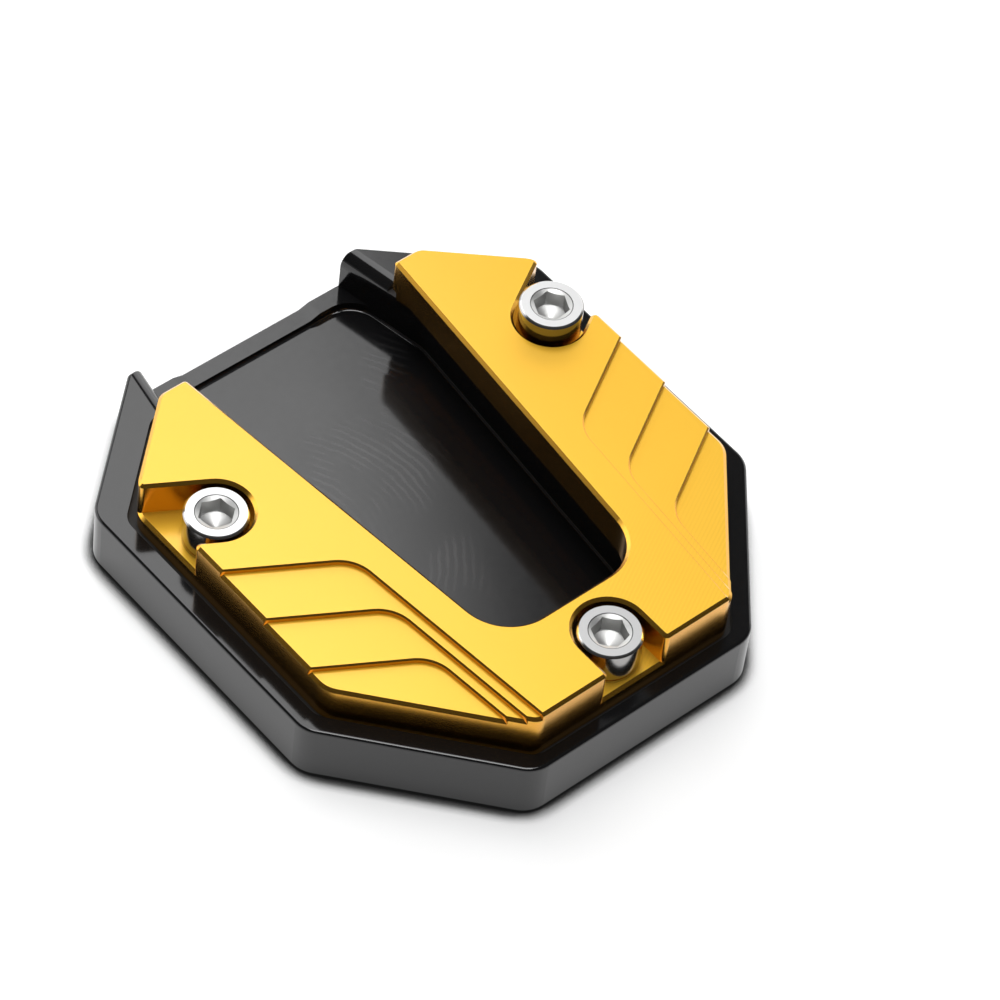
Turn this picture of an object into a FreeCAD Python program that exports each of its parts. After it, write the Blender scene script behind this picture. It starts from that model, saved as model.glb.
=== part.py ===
"""Kickstand foot enlarger: a black base plate that takes the foot of a side stand in a cavity,
a gold U-shaped clamp plate that closes over the edges of that foot, and three socket head
cap screws that pull the two together.

Millimetres. +Z is up and the part rests on its underside at z = 0. The origin is the middle of
the underside's bounding box. +Y points to the open end, where the stand's foot slides in.
"""
import FreeCAD
import Part
import math
import os

# Base plate, seen from above: an octagon that is mirrored about the Y axis
base_length = 94.5
base_width = 86.6
base_height = 10.5
front_edge_width = 42.0
rear_edge_width = 44.8
side_front_y = -21.35
side_rear_y = 28.65
base_corner_radius = 5.0
base_rear_corner_radius = 1.2
base_top_fillet = 0.5
base_bottom_chamfer = 0.7

# Cavity for the foot of the stand, open at the rear between two wings
cavity_floor = 2.0
cavity_widest = 45.2
cavity_front_lip = 3.0
cavity_front_radius = 9.0
cavity_rear_radius = 5.5
cavity_floor_fillet = 0.4
throat_width = 39.0
throat_flare_angle = 10.2
wing_end_fillet = 2.6
sill_depth = 2.9
sill_end_height = 1.5
sill_relief_depth = 0.6
sill_relief_width = 23.0
sill_relief_slope = 1.9

# Recess in the base's top that locates the clamp plate, with the width of its rim
recess_depth = 1.5
rim_front = 2.2
rim_front_chamfer = 3.0
rim_side = 3.15
rim_rear_chamfer = 5.05
rim_rear = 9.1
recess_corner_radius = 3.5

# Gap between the recess's wall and the clamp plate, edge by edge
gap_front = 0.95
gap_front_chamfer = 0.8
gap_side = 1.1
gap_rear_chamfer = 1.35
gap_rear = 2.0

# Clamp plate
plate_lower_thickness = 3.45
plate_lip_thickness = 6.05
plate_corner_radius = 2.5
plate_side_corner_radius = 4.5
plate_tip_radius = 0.6
plate_edge_chamfer = 0.5
plate_underside_chamfer = 0.3

# Slot of the clamp plate, which widens to the open end
slot_end_to_front = 17.0
slot_end_width = 27.4
slot_side_angle = 5.71914
slot_end_radius = 8.0

# Stepped feathers on each arm: every step lowers the top by step_drop
step_count = 3
step_drop = 0.86
first_step_side_y = 4.0
step_side_pitch = 10.3
first_step_slot_gap = 5.7
step_slot_pitch = 1.65
step_sweep_angle = 30.0
step_bend_radius = 6.0
step_edge_chamfer = 0.25

# Cap screws, M6, and where they stand
thread_diameter = 6.0
thread_length = 10.0
head_diameter = 10.0
head_height = 6.0
head_chamfer = 0.35
socket_flats = 5.0
socket_depth = 3.0
lead_in_width = 6.7
lead_in_depth = 0.4
socket_cone_depth = 0.9
thread_end_chamfer = 0.8
front_screw_inset = 9.2
side_screw_inset = 10.9
side_screw_y = 13.25
right_screw_lift = 3.4
front_screw_turn = 12.0
left_screw_turn = 40.0
right_screw_turn = 5.0

# Holes and pockets round the screws
pocket_wall_gap = 0.6
pocket_angle = 30.0
pocket_mouth_radius = 0.8
counterbore_gap = 0.35
counterbore_depth = 0.25
plate_hole_gap = 0.3
thread_gap = 0.05
tapped_hole_floor = 1.0
tapped_hole_chamfer = 0.5

# How far a cutting shape reaches past the material that it cuts
overcut = 5.0

# Heights and half sizes that follow
half_length = base_length / 2
half_width = base_width / 2
recess_floor = base_height - recess_depth
lip_height = recess_floor + plate_lower_thickness
plate_top = lip_height + plate_lip_thickness
screw_seat = lip_height - counterbore_depth
sill_top = cavity_floor + sill_end_height
head_radius = head_diameter / 2
thread_radius = thread_diameter / 2
slot_end_y = -half_length + slot_end_to_front
plate_rear_y = half_length - rim_rear - gap_rear
slot_taper = math.tan(math.radians(slot_side_angle))
slot_mouth_width = slot_end_width + 2 * slot_taper * (plate_rear_y - slot_end_y)
throat_taper = math.tan(math.radians(throat_flare_angle))

front_screw = (0.0, -half_length + front_screw_inset)
left_screw = (-half_width + side_screw_inset, side_screw_y)
right_screw = (half_width - side_screw_inset, side_screw_y)


def vector(point, z):
    return FreeCAD.Vector(point[0], point[1], z)


def line_crossing(a, b, c, d):
    """Where the line through a and b meets the line through c and d."""
    ux, uy = b[0] - a[0], b[1] - a[1]
    vx, vy = d[0] - c[0], d[1] - c[1]
    t = ((c[0] - a[0]) * vy - (c[1] - a[1]) * vx) / (ux * vy - uy * vx)
    return (a[0] + ux * t, a[1] + uy * t)


def inset_outline(corners, insets):
    """Move each edge of an anticlockwise outline inwards; edge i starts at corner i."""
    count = len(corners)
    lines = []
    for i, inset in enumerate(insets):
        a, b = corners[i], corners[(i + 1) % count]
        length = math.dist(a, b)
        nx, ny = -(b[1] - a[1]) / length * inset, (b[0] - a[0]) / length * inset
        lines.append(((a[0] + nx, a[1] + ny), (b[0] + nx, b[1] + ny)))
    return [line_crossing(*lines[i - 1], *lines[i]) for i in range(count)]


def rounded_wire(corners, radii, z):
    """Closed wire through the corners, each rounded by an arc that is tangent to both edges."""
    count = len(corners)
    starts, ends, middles = [], [], []
    for i, radius in enumerate(radii):
        p, q, r = corners[i - 1], corners[i], corners[(i + 1) % count]
        if radius == 0:
            for points in (starts, ends, middles):
                points.append(vector(q, z))
            continue
        back = FreeCAD.Vector(p[0] - q[0], p[1] - q[1], 0).normalize()
        on = FreeCAD.Vector(r[0] - q[0], r[1] - q[1], 0).normalize()
        half_angle = back.getAngle(on) / 2
        reach = radius / math.tan(half_angle)
        corner = vector(q, z)
        centre = corner + (back + on).normalize() * (radius / math.sin(half_angle))
        starts.append(corner + back * reach)
        ends.append(corner + on * reach)
        middles.append(centre + (corner - centre).normalize() * radius)
    edges = []
    for i, radius in enumerate(radii):
        if radius > 0:
            edges.append(Part.Arc(starts[i], middles[i], ends[i]).toShape())
        following = (i + 1) % count
        if (starts[following] - ends[i]).Length > 1e-6:
            edges.append(Part.LineSegment(ends[i], starts[following]).toShape())
    return Part.Wire(edges)


def prism(corners, radii, bottom, top):
    face = Part.Face(rounded_wire(corners, radii, bottom))
    return face.extrude(FreeCAD.Vector(0, 0, top - bottom))


def cylinder(radius, bottom, top, centre):
    return Part.makeCylinder(radius, top - bottom, vector(centre, bottom))


def edges_at_height(shape, z):
    """Edges that lie level at height z."""
    return [e for e in shape.Edges
            if abs(e.BoundBox.ZMin - z) < 1e-4 and abs(e.BoundBox.ZMax - z) < 1e-4]


def mirrored(shape):
    return shape.mirror(FreeCAD.Vector(0, 0, 0), FreeCAD.Vector(1, 0, 0))


def base_corners():
    """Corners of the base, anticlockwise from the left end of the front edge."""
    right = [(front_edge_width / 2, -half_length), (half_width, side_front_y),
             (half_width, side_rear_y), (rear_edge_width / 2, half_length)]
    left = [(-x, y) for x, y in reversed(right)]
    return [left[-1]] + right + left[:-1]


def edge_insets(front, front_chamfer, side, rear_chamfer, rear):
    """Insets of the eight edges in the order of base_corners."""
    return [front, front_chamfer, side, rear_chamfer, rear, rear_chamfer, side, front_chamfer]


def recess_insets():
    return edge_insets(rim_front, rim_front_chamfer, rim_side, rim_rear_chamfer, rim_rear)


def recess_corners():
    return inset_outline(base_corners(), recess_insets())


def plate_corners():
    gaps = edge_insets(gap_front, gap_front_chamfer, gap_side, gap_rear_chamfer, gap_rear)
    return inset_outline(base_corners(), [a + b for a, b in zip(recess_insets(), gaps)])


def throat_half_width(y):
    """Half the distance between the wings' end walls, which spread towards the cavity."""
    return throat_width / 2 + throat_taper * (half_length - y)


def cavity_corners(rear_y):
    """Outline of the cavity up to rear_y, anticlockwise from the front left corner."""
    widest = cavity_widest / 2
    widest_y = half_length - (widest - throat_width / 2) / throat_taper
    front_y = slot_end_y - cavity_front_lip
    front = widest - slot_taper * (widest_y - front_y)
    right = [(front, front_y), (widest, widest_y), (throat_half_width(rear_y), rear_y)]
    left = [(-x, y) for x, y in reversed(right)]
    return [left[-1]] + right + left[:-1]


def cavity_prism(bottom, top, rear_y, rear_radius):
    radii = [cavity_front_radius, cavity_front_radius, cavity_rear_radius,
             rear_radius, rear_radius, cavity_rear_radius]
    return prism(cavity_corners(rear_y), radii, bottom, top)


def wing_end_rounding():
    """Cutter that rounds the top edge of the right wing's end wall."""
    r = wing_end_fillet
    start_y = half_length + overcut
    start = FreeCAD.Vector(throat_half_width(start_y), start_y, base_height)
    inward = FreeCAD.Vector(throat_taper, -1, 0).normalize()
    across = FreeCAD.Vector(1, throat_taper, 0).normalize()
    down = FreeCAD.Vector(0, 0, -1)
    up = FreeCAD.Vector(0, 0, overcut)
    low = start + down * r
    arc_middle = start + (across + down) * (r - r / math.sqrt(2))
    high = start + across * r
    clear = start - across * r
    profile = Part.Wire([Part.Arc(low, arc_middle, high).toShape(),
                         Part.LineSegment(high, high + up).toShape(),
                         Part.LineSegment(high + up, clear + up).toShape(),
                         Part.LineSegment(clear + up, clear + down * r).toShape(),
                         Part.LineSegment(clear + down * r, low).toShape()])
    run = overcut + rim_rear + wing_end_fillet
    return Part.Face(profile).extrude(inward * run)


def sill_relief():
    """Cutter for the shallow middle of the sill, with a slope at each end."""
    low, high = sill_relief_width / 2, sill_relief_width / 2 + sill_relief_slope
    y = half_length - sill_depth - cavity_rear_radius
    bottom = sill_top - sill_relief_depth
    points = [(-high, sill_top), (-low, bottom), (low, bottom), (high, sill_top),
              (high, sill_top + overcut), (-high, sill_top + overcut), (-high, sill_top)]
    wire = Part.makePolygon([FreeCAD.Vector(x, y, z) for x, z in points])
    return Part.Face(wire).extrude(FreeCAD.Vector(0, half_length + overcut - y, 0))


def tapped_hole(centre):
    hole = cylinder(thread_radius + thread_gap, tapped_hole_floor, base_height + overcut, centre)
    mouth = Part.makeCone(thread_radius + thread_gap, thread_radius + thread_gap
                          + tapped_hole_chamfer, tapped_hole_chamfer,
                          vector(centre, recess_floor - tapped_hole_chamfer))
    return hole.fuse(mouth)


def base_plate():
    side, tip = base_corner_radius, base_rear_corner_radius
    radii = [side, side, side, side, tip, tip, side, side]
    body = prism(base_corners(), radii, 0.0, base_height)
    body = body.makeFillet(base_top_fillet, edges_at_height(body, base_height))
    body = body.makeChamfer(base_bottom_chamfer, edges_at_height(body, 0.0))

    cavity = cavity_prism(cavity_floor, base_height + overcut, half_length - sill_depth,
                          cavity_rear_radius)
    cavity = cavity.makeFillet(cavity_floor_fillet, edges_at_height(cavity, cavity_floor))
    throat = cavity_prism(sill_top, base_height + overcut, half_length + overcut, 0.0)
    recess_radii = [recess_corner_radius] * len(recess_corners())
    recess = prism(recess_corners(), recess_radii, recess_floor, base_height + overcut)
    rounding = wing_end_rounding()
    cutters = [cavity, throat, recess, rounding, mirrored(rounding), sill_relief()]
    cutters += [tapped_hole(c) for c in (front_screw, left_screw, right_screw)]
    for cutter in cutters:
        body = body.cut(cutter)
    return body.removeSplitter()


def slot_prism(bottom, top):
    """The slot, which widens from its closed end and runs out of the plate at the rear."""
    end = slot_end_width / 2
    rear_y = plate_rear_y + overcut
    rear = slot_mouth_width / 2 + slot_taper * overcut
    corners = [(-end, slot_end_y), (end, slot_end_y), (rear, rear_y), (-rear, rear_y)]
    return prism(corners, [slot_end_radius, slot_end_radius, 0.0, 0.0], bottom, top)


def pocket_prism(centre, angle, bottom, top):
    """Open-sided pocket round a screw; angle is the direction in which it opens."""
    radius = head_radius + pocket_wall_gap
    reach = half_width
    channel = Part.makeBox(reach, 2 * radius, top - bottom, FreeCAD.Vector(0, -radius, 0))
    shape = channel.fuse(Part.makeCylinder(radius, top - bottom)).removeSplitter()
    shape.rotate(FreeCAD.Vector(0, 0, 0), FreeCAD.Vector(0, 0, 1), angle)
    shape.translate(vector(centre, bottom))
    return shape


def pockets(bottom, top):
    return [pocket_prism(front_screw, -90.0, bottom, top),
            pocket_prism(left_screw, 180.0 - pocket_angle, bottom, top),
            pocket_prism(right_screw, pocket_angle, bottom, top)]


def plate_radii():
    front, side = plate_corner_radius, plate_side_corner_radius
    return [front, front, side, side, front, front, side, side]


def upright_edges(shape, test):
    """Upright edges whose place passes the test."""
    found = []
    for edge in shape.Edges:
        box = edge.BoundBox
        if box.ZLength > plate_edge_chamfer and box.XLength < 1e-4 and box.YLength < 1e-4:
            if test(box.Center):
                found.append(edge)
    return found


def on_pocket_mouth(place):
    """True where a pocket's straight wall ends at the plate's outside."""
    radius = head_radius + pocket_wall_gap
    for centre in (front_screw, left_screw, right_screw):
        if radius + 0.1 < math.dist((place.x, place.y), centre) < 2.6 * radius:
            return True
    return False


def on_slot_mouth(place):
    return abs(place.y - plate_rear_y) < 1e-3 and abs(place.x) < slot_mouth_width / 2 + 1.0


def upper_layer(bottom, top):
    """The plate's upper part up to one level, with its top edges broken all round."""
    layer = prism(plate_corners(), plate_radii(), bottom, top)
    for cutter in [slot_prism(bottom - 1, top + 1)] + pockets(bottom - 1, top + 1):
        layer = layer.cut(cutter)
    layer = layer.removeSplitter()
    layer = layer.makeFillet(pocket_mouth_radius, upright_edges(layer, on_pocket_mouth))
    layer = layer.makeFillet(plate_tip_radius, upright_edges(layer, on_slot_mouth))
    return layer.makeChamfer(plate_edge_chamfer, edges_at_height(layer, top))


def outside_step(index):
    """Area in front of and outside one step on the right arm, which that step lowers."""
    sweep = math.tan(math.radians(step_sweep_angle))
    side_x = half_width - rim_side - gap_side
    side_y = first_step_side_y - index * step_side_pitch
    gap = first_step_slot_gap + index * step_slot_pitch
    far = base_length
    start = (far, side_y + sweep * (far - side_x))
    slot_end_x = slot_end_width / 2 + gap
    low = (slot_end_x - slot_taper * (far + slot_end_y), -far)
    bend = line_crossing(start, (side_x, side_y), low, (slot_end_x, slot_end_y))
    return prism([start, bend, low, (far, -far)], [0.0, step_bend_radius, 0.0, 0.0],
                 lip_height, plate_top + overcut)


def edges_made_by(layer, top, cutters):
    """Top edges of a layer that the cutters have made."""
    found = []
    for edge in edges_at_height(layer, top):
        middle = Part.Vertex(edge.valueAt((edge.FirstParameter + edge.LastParameter) / 2))
        if min(middle.distToShape(cutter)[0] for cutter in cutters) < 1e-4:
            found.append(edge)
    return found


def clamp_plate():
    """A lower slab with the screw seats, and upper layers that step down towards the front."""
    slab = prism(plate_corners(), plate_radii(), recess_floor, lip_height)
    slab = slab.makeChamfer(plate_edge_chamfer, edges_at_height(slab, lip_height))
    slab = slab.makeChamfer(plate_underside_chamfer, edges_at_height(slab, recess_floor))

    body = slab
    overlap = lip_height - plate_edge_chamfer
    for level in range(step_count + 1):
        top = plate_top - level * step_drop
        layer = upper_layer(overlap, top)
        if level < step_count:
            outside = outside_step(level)
            areas = [outside, mirrored(outside)]
            layer = layer.cut(areas[0]).cut(areas[1])
            layer = layer.makeChamfer(step_edge_chamfer, edges_made_by(layer, top, areas))
        body = body.fuse(layer)

    body = body.cut(cavity_prism(recess_floor - 1, lip_height, half_length + overcut, 0.0))
    for centre in (front_screw, left_screw, right_screw):
        seat_radius = head_radius + counterbore_gap
        body = body.cut(cylinder(seat_radius, screw_seat, plate_top + overcut, centre))
        hole_radius = thread_radius + plate_hole_gap
        body = body.cut(cylinder(hole_radius, recess_floor - 1, plate_top, centre))
    return body.removeSplitter()


def hexagon_prism(flats, bottom, top):
    radius = flats / math.sqrt(3)
    points = []
    for side in range(7):
        angle = math.radians(60 * side)
        points.append(FreeCAD.Vector(radius * math.cos(angle), radius * math.sin(angle), bottom))
    return Part.Face(Part.makePolygon(points)).extrude(FreeCAD.Vector(0, 0, top - bottom))


def cap_screw(centre, seat, turn):
    """Socket head cap screw whose head rests at height seat; turn sets its socket's corners."""
    head = Part.makeCylinder(head_radius, head_height)
    head = head.makeChamfer(head_chamfer, edges_at_height(head, head_height))
    shank = Part.makeCylinder(thread_radius, thread_length, FreeCAD.Vector(0, 0, -thread_length))
    shank = shank.makeChamfer(thread_end_chamfer, edges_at_height(shank, -thread_length))
    socket_floor = head_height - socket_depth
    socket = hexagon_prism(socket_flats, socket_floor, head_height + 1)
    cone = Part.makeCone(0, socket_flats / 2, socket_cone_depth,
                         FreeCAD.Vector(0, 0, socket_floor - socket_cone_depth))
    lead_in = Part.makeCone(socket_flats / 2, lead_in_width / 2, lead_in_depth,
                            FreeCAD.Vector(0, 0, head_height - lead_in_depth))
    screw = head.fuse(shank).cut(socket).cut(cone).cut(lead_in).removeSplitter()
    screw.rotate(FreeCAD.Vector(0, 0, 0), FreeCAD.Vector(0, 0, 1), turn)
    screw.translate(vector(centre, seat))
    return screw


def single_solid(shape):
    """The one solid of a finished piece."""
    if len(shape.Solids) != 1:
        raise ValueError("a piece came out as %d solids" % len(shape.Solids))
    return shape.Solids[0]


pieces = {
    "base_plate": base_plate(),
    "clamp_plate": clamp_plate(),
    "screw_front": cap_screw(front_screw, screw_seat, front_screw_turn),
    "screw_left": cap_screw(left_screw, screw_seat, left_screw_turn),
    "screw_right": cap_screw(right_screw, screw_seat + right_screw_lift, right_screw_turn),
}

os.makedirs("parts", exist_ok=True)
for name, shape in pieces.items():
    solid = single_solid(shape)
    solid.exportStep("parts/%s.step" % name)
    box = solid.BoundBox
    print("%-12s volume %9.1f  x %.2f..%.2f  y %.2f..%.2f  z %.2f..%.2f  valid %s" % (
        name, solid.Volume, box.XMin, box.XMax, box.YMin, box.YMax, box.ZMin, box.ZMax,
        solid.isValid()))
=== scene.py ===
"""Looks of the kickstand foot enlarger: black and gold anodised plates and bright steel screws,
on a white sweep in soft light. The object stays in the frame of the CAD part, in metres."""
import bpy
import math
from mathutils import Matrix, Vector


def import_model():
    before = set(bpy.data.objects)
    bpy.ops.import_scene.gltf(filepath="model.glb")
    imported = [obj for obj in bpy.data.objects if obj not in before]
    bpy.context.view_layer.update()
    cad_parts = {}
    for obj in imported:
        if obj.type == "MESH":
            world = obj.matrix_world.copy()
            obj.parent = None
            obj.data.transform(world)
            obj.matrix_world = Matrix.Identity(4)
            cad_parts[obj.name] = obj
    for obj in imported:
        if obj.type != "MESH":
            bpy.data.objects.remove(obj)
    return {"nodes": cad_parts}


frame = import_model()
scene = bpy.context.scene
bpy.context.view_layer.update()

# Camera: where the photo was taken from, relative to the middle of the part's underside
CAMERA_PLACE = (-0.33183, -0.32842, 0.57080)
CAMERA_RIGHT = (0.75969, -0.64423, 0.08863)
CAMERA_UP = (0.45496, 0.62391, 0.63540)
CAMERA_BACK = (-0.46464, -0.44238, 0.76707)
CAMERA_LENS = 175.05


class Nodes:
    """Short way to build one material's node tree."""

    def __init__(self, name):
        self.material = bpy.data.materials.new(name)
        self.material.use_nodes = True
        self.tree = self.material.node_tree
        self.shader = self.tree.nodes["Principled BSDF"]

    def add(self, kind, **values):
        node = self.tree.nodes.new(kind)
        for key, value in values.items():
            if key in node.inputs:
                node.inputs[key].default_value = value
            else:
                setattr(node, key, value)
        return node

    def math(self, operation, a, b=None):
        node = self.add("ShaderNodeMath", operation=operation)
        for i, value in enumerate((a, b)):
            if value is None:
                continue
            if isinstance(value, (int, float)):
                node.inputs[i].default_value = value
            else:
                self.tree.links.new(value, node.inputs[i])
        return node.outputs[0]

    def mix(self, share, a, b, start=0.0, end=1.0):
        """Value that goes from a to b while share goes from start to end."""
        node = self.add("ShaderNodeMapRange")
        self.tree.links.new(share, node.inputs["Value"])
        for socket, number in (("From Min", start), ("From Max", end), ("To Min", a),
                               ("To Max", b)):
            node.inputs[socket].default_value = number
        return node.outputs[0]

    def colour(self, share, a, b):
        """Colour a where share is 0 and b where it is 1."""
        node = self.add("ShaderNodeMix", data_type="RGBA")
        self.tree.links.new(share, node.inputs[0])
        for socket, value in ((6, a), (7, b)):
            if isinstance(value, tuple):
                node.inputs[socket].default_value = value
            else:
                self.tree.links.new(value, node.inputs[socket])
        return node.outputs[2]

    def place(self, shift=(0, 0, 0), turn=0.0):
        """Place on the object in metres, moved, and turned in degrees about the upright axis."""
        place = self.add("ShaderNodeTexCoord")
        mapping = self.add("ShaderNodeMapping")
        mapping.inputs["Location"].default_value = shift
        mapping.inputs["Rotation"].default_value = (0, 0, math.radians(turn))
        self.tree.links.new(place.outputs["Object"], mapping.inputs["Vector"])
        return mapping.outputs[0]

    def axes(self, vector):
        split = self.add("ShaderNodeSeparateXYZ")
        self.tree.links.new(vector, split.inputs[0])
        return split.outputs

    def noise(self, scale, detail=4.0):
        noise = self.add("ShaderNodeTexNoise")
        noise.inputs["Scale"].default_value = scale
        noise.inputs["Detail"].default_value = detail
        self.tree.links.new(self.place(), noise.inputs["Vector"])
        return noise.outputs["Fac"]

    def wave(self, kind, scale, distortion, place):
        wave = self.add("ShaderNodeTexWave", wave_type=kind)
        if kind == "RINGS":
            wave.rings_direction = "Z"
        wave.inputs["Scale"].default_value = scale
        wave.inputs["Distortion"].default_value = distortion
        self.tree.links.new(place, wave.inputs["Vector"])
        return wave.outputs["Fac"]

    def upward(self):
        """How far a face lies level: 1 on level faces and 0 on walls."""
        geometry = self.add("ShaderNodeNewGeometry")
        return self.math("ABSOLUTE", self.axes(geometry.outputs["True Normal"])["Z"])

    def level_faces(self):
        """1 on faces that lie level, 0 on walls and chamfers."""
        return self.math("GREATER_THAN", self.upward(), 0.95)

    def band(self, value, limits):
        """1 where a value lies between two limits."""
        above = self.math("GREATER_THAN", value, limits[0])
        return self.math("MULTIPLY", above, self.math("LESS_THAN", value, limits[1]))

    def blend(self, share, a, b):
        """Value a where share is 0 and b where it is 1; both may be node outputs."""
        rest = self.math("SUBTRACT", 1.0, share)
        return self.math("ADD", self.math("MULTIPLY", rest, a), self.math("MULTIPLY", share, b))

    def set(self, socket, value):
        if isinstance(value, (int, float, tuple)):
            self.shader.inputs[socket].default_value = value
        else:
            self.tree.links.new(value, self.shader.inputs[socket])


# A wave texture repeats after this length at scale 1
WAVE_LENGTH = math.pi / 10
# Between these heights lie the cavity's floor, which the mill has marked, the bend up to its
# walls and the floor of the recess, both matt
MARKED_RANGE = (0.0015, 0.0025)
FILLET_RANGE = (0.00204, 0.0025)
RECESS_RANGE = (0.0088, 0.0092)
# The cavity reaches this far to each side and to the front
CAVITY_SIDE, CAVITY_FRONT = 0.0235, -0.036
# Turn in degrees after which X runs across the lit part of the cavity's floor
SLOT_TURN = 24.0
# Shift of the swirls' centre, how far apart they lie and how they waver
SWIRL_SHIFT, SWIRL_PITCH, SWIRL_WAVER = (0.022, -0.012, 0), 0.0013, 3.0
# Where the marks fade out, across the cavity's floor into the painted shade along the clamp's arm,
# and towards the rear
MARKS_ACROSS, MARKS_REAR = (0.001, 0.007), (0.030, 0.038)
# Where the bend at the cavity's foot turns matt, on the same way across
MATT_ACROSS = (0.003, 0.006)
# Pitch, waver and direction in degrees of the hatching on the gold plate, how much darker it
# is, and where it fades out towards the rear and in towards the right
HATCH_PITCH, HATCH_WAVER, HATCH_TURN, HATCH_DEPTH = 0.0006, 0.6, 62.0, 0.06
HATCH_REAR, HATCH_RIGHT = (-0.032, -0.018), (-0.004, 0.006)
# Faces whose normal rises by less than this count as walls, which the gold plate paints darker as
# shade
STEEP = 0.5
# Distance from a screw's axis within which its socket lies, beyond which the head's side is painted
# darker as shade, and those of the lead-in's rim, where a dark reflection is painted
SOCKET_REACH = 0.0034
HEAD_SIDE = 0.0048
LEAD_IN_DARK_REFLECTION = (0.0032, 0.0034)


def black_anodised():
    """Black anodised base: smooth and glossy, with the swirls of a mill on the cavity's floor,
    painted lighter as a sheen only on the floor's lit part.
    """
    n = Nodes("black_anodised")
    n.set("IOR", 1.58)
    place = n.axes(n.place())
    across = n.axes(n.place(turn=SLOT_TURN))["X"]
    worn = n.mix(n.noise(70), 0, 1, 0.46, 0.60)
    cloud = n.mix(n.noise(45, 5), 0, 0.3, 0.42, 0.62)
    rings = n.wave("RINGS", WAVE_LENGTH / SWIRL_PITCH, SWIRL_WAVER, n.place(shift=SWIRL_SHIFT))
    mill_marks_and_sheen = n.math("ADD", n.math("MULTIPLY", n.mix(rings, 0, 1, 0.45, 1.0), worn), cloud)
    # The swirls are real mill marks; their lighter colour is a painted sheen, kept on the lit part of
    # the floor and faded out where the clamp's arm shades it, as painted shade
    lit = n.math("MULTIPLY", n.mix(across, 1, 0, *MARKS_ACROSS), n.mix(place["Y"], 1, 0, *MARKS_REAR))
    inside = n.math("LESS_THAN", n.math("ABSOLUTE", place["X"]), CAVITY_SIDE)
    inside = n.math("MULTIPLY", inside, n.math("GREATER_THAN", place["Y"], CAVITY_FRONT))
    lit = n.math("MULTIPLY", lit, n.math("MULTIPLY", inside, n.band(place["Z"], MARKED_RANGE)))
    mill_marks_and_sheen = n.math("MULTIPLY", mill_marks_and_sheen, lit)
    n.set("Base Color", n.colour(mill_marks_and_sheen, (0.006, 0.006, 0.0065, 1), (0.036, 0.036, 0.037, 1)))
    recess = n.math("MULTIPLY", n.level_faces(), n.band(place["Z"], RECESS_RANGE))
    bend = n.math("MULTIPLY", inside, n.band(place["Z"], FILLET_RANGE))
    bend = n.math("MULTIPLY", bend, n.mix(across, 0, 1, *MATT_ACROSS))
    matt = n.math("MAXIMUM", n.math("MULTIPLY", recess, 0.6), bend)
    n.set("Roughness", n.blend(matt, n.mix(n.noise(900), 0.08, 0.14), 1.0))
    return n.material


def gold_anodised():
    """Gold anodised clamp plate: satin level faces with fine mill marks, smoother walls, and walls
    and chamfers painted darker than the level faces as shade.
    """
    n = Nodes("gold_anodised")
    n.set("Metallic", 1.0)
    n.set("Coat Weight", 0.6)
    n.set("Coat IOR", 1.6)
    n.set("Coat Roughness", 0.2)
    flat = n.level_faces()
    hatch = n.wave("BANDS", WAVE_LENGTH / HATCH_PITCH, HATCH_WAVER, n.place(turn=HATCH_TURN))
    place = n.axes(n.place())
    front = n.math("MULTIPLY", n.mix(place["Y"], 1, 0, *HATCH_REAR),
                   n.mix(place["X"], 0, 1, *HATCH_RIGHT))
    worn = n.mix(n.noise(160), 0.97, 1.0)
    hatch = n.math("MULTIPLY", n.math("MULTIPLY", hatch, front), HATCH_DEPTH)
    tone = n.math("SUBTRACT", worn, hatch)
    level = n.colour(tone, (0, 0, 0, 1), (0.89, 0.515, 0.045, 1))
    # Painted shade: chamfers a little darker and walls darker and browner than the level faces
    painted_shade_walls = n.math("LESS_THAN", n.upward(), STEEP)
    sides = n.colour(painted_shade_walls, (0.89, 0.46, 0.03, 1), (0.84, 0.40, 0.02, 1))
    n.set("Base Color", n.colour(flat, sides, level))
    rough = n.noise(1200)
    n.set("Roughness", n.blend(flat, n.mix(rough, 0.19, 0.21), n.mix(rough, 0.42, 0.48)))
    return n.material


def bright_steel(name, centre, tone):
    """Plated screw round centre: satin top of the given tone, painted lighter and darker from screw
    to screw as light and shade, bright sides, a socket and outer head side painted darker as shade,
    and a painted dark reflection on the lead-in's rim.
    """
    n = Nodes(name)
    n.set("Metallic", 1.0)
    place = n.axes(n.place(shift=(-centre[0], -centre[1], 0)))
    squares = n.math("ADD", n.math("POWER", place["X"], 2), n.math("POWER", place["Y"], 2))
    radius = n.math("SQRT", squares)
    flat = n.level_faces()
    tilted = n.math("SUBTRACT", 1.0, flat)
    # The socket gets a darker colour than the bright sides: painted shade in the recess
    socket = n.math("MULTIPLY", tilted, n.math("LESS_THAN", radius, SOCKET_REACH))
    edge = n.math("MULTIPLY", tilted, n.band(radius, LEAD_IN_DARK_REFLECTION))
    sides = n.colour(socket, (0.76, 0.76, 0.755, 1), (0.60, 0.60, 0.59, 1))
    # The head's outer side is painted darker as a dark reflection, and the lead-in's rim gets a
    # painted dark reflection
    shaded_head_side = n.math("MULTIPLY", tilted, n.math("GREATER_THAN", radius, HEAD_SIDE))
    sides = n.colour(shaded_head_side, sides, (0.42, 0.41, 0.40, 1))
    sides = n.colour(edge, sides, (0.10, 0.10, 0.10, 1))
    # Painted light and shade: the top's tone, given per screw, makes one steel lighter on some screws
    # and darker on others
    n.set("Base Color", n.colour(flat, sides, (tone, tone, tone, 1)))
    rough = n.noise(1500)
    sides = n.blend(socket, n.mix(rough, 0.10, 0.16), n.mix(rough, 0.42, 0.50))
    n.set("Roughness", n.blend(flat, sides, n.mix(rough, 0.34, 0.44)))
    return n.material


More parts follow.
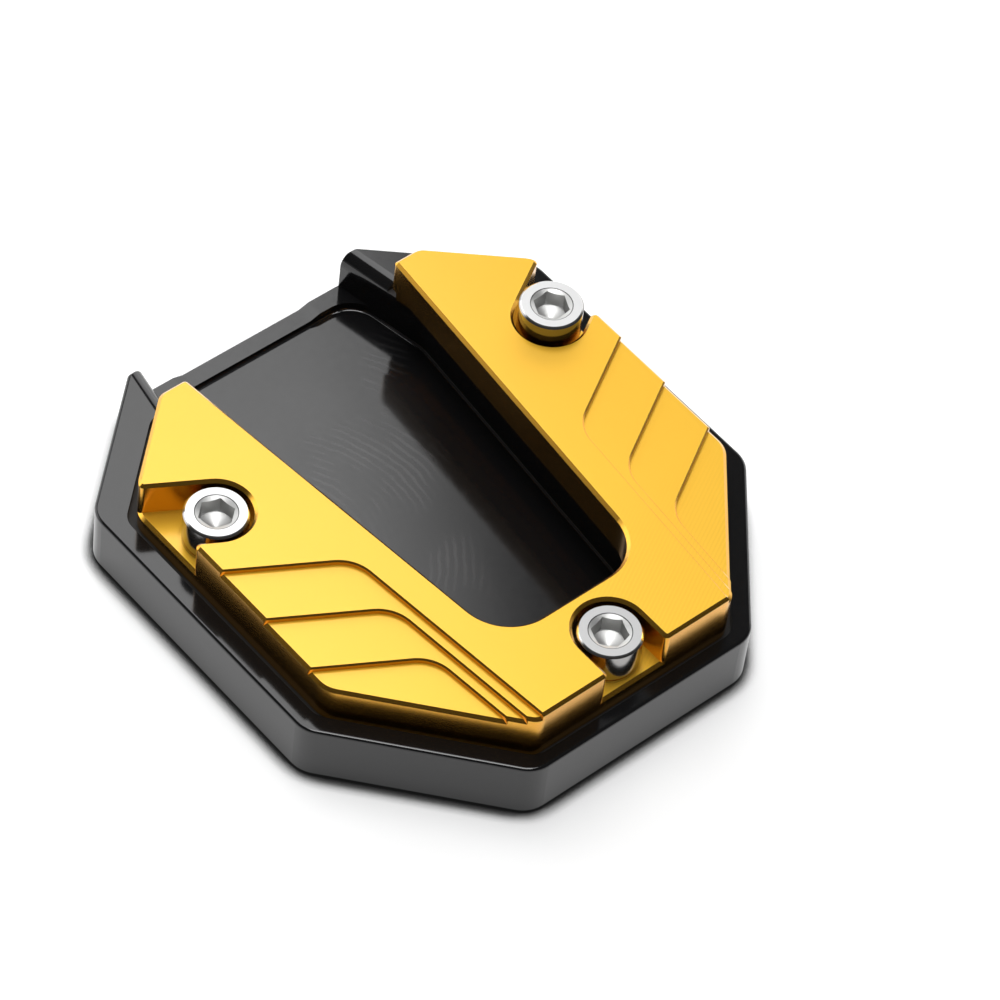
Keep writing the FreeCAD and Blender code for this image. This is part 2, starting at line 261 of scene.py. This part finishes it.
# Where the screws stand, and how light their tops are painted: one steel, lighter and darker from
# screw to screw as painted light and shade
SCREWS = {"screw_front": ((0.0, -0.03805), 0.52), "screw_left": ((-0.0324, 0.01325), 0.78),
          "screw_right": ((0.0324, 0.01325), 0.74)}

finishes = {
    "base_plate": ("base_anodised", black_anodised()),
    "clamp_plate": ("clamp_anodised", gold_anodised()),
}
for name, (centre, tone) in SCREWS.items():
    finishes[name] = ("screw_steel", bright_steel(name + "_steel", centre, tone))
for name, (slot, material) in finishes.items():
    node = frame["nodes"][name]
    node.data.materials.clear()
    node.data.materials.append(material)


def flat_object(name, size, place, material):
    bpy.ops.mesh.primitive_plane_add(size=size, location=place)
    plane = bpy.context.object
    plane.name = name
    plane.data.materials.append(material)
    return plane


# The floor's size, and the gap that keeps it from flickering with the object's underside
FLOOR_SIZE, FLOOR_GAP = 8.0, 0.00002
# What the floor adds, as seen or reflected, to the light that falls on it
FLOOR_LIFT = 0.26
# Reach of the deep shadow painted on the floor at the object's foot, and how open the floor is where
# the painted shadow is darkest and where it ends
FOOT_REACH = 0.0036
FOOT_RANGE = (0.60, 0.82)


def floor_material():
    """White floor that keeps its shadows, lifted to white as the camera and mirrors see it, with a
    deep shadow painted into its colour and lift close to the foot of the object's sides."""
    n = Nodes("white_floor")
    n.set("Roughness", 0.9)
    n.set("Specular IOR Level", 0.0)
    n.set("Emission Color", (1, 1, 1, 1))
    path = n.add("ShaderNodeLightPath")
    # Painted shadow: ambient occlusion darkens the floor's colour and lift near the foot of the
    # object
    painted_foot_shadow = n.add("ShaderNodeAmbientOcclusion", samples=8, Distance=FOOT_REACH)
    painted_foot_shadow = n.mix(painted_foot_shadow.outputs["AO"], 0.02, 1.0, *FOOT_RANGE)
    painted_foot_shadow = n.blend(path.outputs["Is Camera Ray"], 1.0, painted_foot_shadow)
    n.set("Base Color", n.colour(painted_foot_shadow, (0, 0, 0, 1), (0.95, 0.95, 0.95, 1)))
    seen = n.math("ADD", path.outputs["Is Camera Ray"], path.outputs["Is Glossy Ray"])
    seen = n.math("ADD", seen, path.outputs["Is Transmission Ray"])
    lift = n.math("MULTIPLY", n.math("MINIMUM", seen, 1.0), FLOOR_LIFT)
    n.set("Emission Strength", n.math("MULTIPLY", lift, painted_foot_shadow))
    return n.material


flat_object("floor", FLOOR_SIZE, (0, 0, -FLOOR_GAP), floor_material())


# Light panels: azimuth and elevation of the direction, distance, width, height, shift to the
# right and upwards, strength, and the stretch of the width over which the right edge fades
PANELS = {
    "softbox": (66.0, 52.0, 1.1, 0.69, 0.72, -0.015, -0.245, 2.8, (0.832, 0.977)),
    "overhead": (-138.0, 88.0, 1.2, 0.55, 0.62, 0.0, 0.0, 7.0, None),
}


def panel_material(name, strength, fade):
    """Plain emission, which fades out along the panel's right edge if fade is given."""
    n = Nodes(name)
    emission = n.add("ShaderNodeEmission", Strength=strength)
    if fade:
        place = n.add("ShaderNodeTexCoord")
        split = n.add("ShaderNodeSeparateXYZ")
        n.tree.links.new(place.outputs["Generated"], split.inputs[0])
        edge = n.add("ShaderNodeMapRange", interpolation_type="SMOOTHSTEP")
        n.tree.links.new(split.outputs["X"], edge.inputs["Value"])
        edge.inputs["From Min"].default_value = fade[0]
        edge.inputs["From Max"].default_value = fade[1]
        edge.inputs["To Min"].default_value = strength
        edge.inputs["To Max"].default_value = 0.0
        n.tree.links.new(edge.outputs[0], emission.inputs["Strength"])
    n.tree.links.new(emission.outputs[0], n.tree.nodes["Material Output"].inputs["Surface"])
    n.tree.nodes.remove(n.shader)
    return n.material


def light_panel(name, azimuth, elevation, distance, width, height, shift, rise, strength, fade):
    azimuth, elevation = math.radians(azimuth), math.radians(elevation)
    out = Vector((math.cos(azimuth) * math.cos(elevation),
                  math.sin(azimuth) * math.cos(elevation), math.sin(elevation)))
    right = Vector((math.sin(azimuth), -math.cos(azimuth), 0))
    up = out.cross(right)
    panel = flat_object(name, 1.0, (0, 0, 0), panel_material(name, strength, fade))
    turn = Matrix((right, up, out)).transposed().to_4x4()
    size = Matrix.Diagonal((width, height, 1.0, 1.0))
    place = out * distance + right * shift + up * rise
    panel.matrix_world = Matrix.Translation(place) @ turn @ size


for name, values in PANELS.items():
    light_panel(name, *values)

# Studio round the object: a bright backdrop on the far side, up to about 33 degrees, a bright
# strip along the ground on the camera's side, and dark above both
BACKDROP, GROUND_STRIP, DARK = 1.8, 0.5, 0.06
BACKDROP_AZIMUTH = 66.0
# Between which heights the strip and the backdrop end, as the sine of the elevation, and over
# which share of the backdrop's direction the far side takes over
STRIP_EDGE, BACKDROP_EDGE, FAR_EDGE = (0.04, 0.20), (0.50, 0.62), (0.15, 0.50)


def ramp(tree, value, start, end, low, high):
    node = tree.nodes.new("ShaderNodeMapRange")
    node.interpolation_type = "SMOOTHSTEP"
    for socket, number in (("From Min", start), ("From Max", end), ("To Min", low),
                           ("To Max", high)):
        node.inputs[socket].default_value = number
    tree.links.new(value, node.inputs["Value"])
    return node.outputs[0]


def world():
    w = bpy.data.worlds.new("studio")
    w.use_nodes = True
    scene.world = w
    tree = w.node_tree
    background = tree.nodes["Background"]
    background.inputs["Color"].default_value = (1, 1, 1, 1)
    place = tree.nodes.new("ShaderNodeTexCoord")
    split = tree.nodes.new("ShaderNodeSeparateXYZ")
    tree.links.new(place.outputs["Generated"], split.inputs[0])
    height = split.outputs["Z"]
    far = tree.nodes.new("ShaderNodeVectorMath")
    far.operation = "DOT_PRODUCT"
    tree.links.new(place.outputs["Generated"], far.inputs[0])
    azimuth = math.radians(BACKDROP_AZIMUTH)
    far.inputs[1].default_value = (math.cos(azimuth), math.sin(azimuth), 0)
    strip = ramp(tree, height, *STRIP_EDGE, GROUND_STRIP, DARK)
    backdrop = ramp(tree, height, *BACKDROP_EDGE, BACKDROP, DARK)
    blend = tree.nodes.new("ShaderNodeMix")
    tree.links.new(ramp(tree, far.outputs["Value"], *FAR_EDGE, 0, 1), blend.inputs["Factor"])
    tree.links.new(strip, blend.inputs["A"])
    tree.links.new(backdrop, blend.inputs["B"])
    tree.links.new(blend.outputs["Result"], background.inputs["Strength"])


world()
scene.view_settings.view_transform = "Standard"

camera_data = bpy.data.cameras.new("camera")
camera_data.lens = CAMERA_LENS
camera_data.sensor_width = 36.0
camera_data.clip_start = 0.05
camera_data.clip_end = 50.0
camera = bpy.data.objects.new("camera", camera_data)
scene.collection.objects.link(camera)
turn = Matrix((CAMERA_RIGHT, CAMERA_UP, CAMERA_BACK)).transposed()
camera.rotation_mode = "QUATERNION"
camera.rotation_quaternion = turn.to_quaternion()
camera.location = CAMERA_PLACE
scene.camera = camera
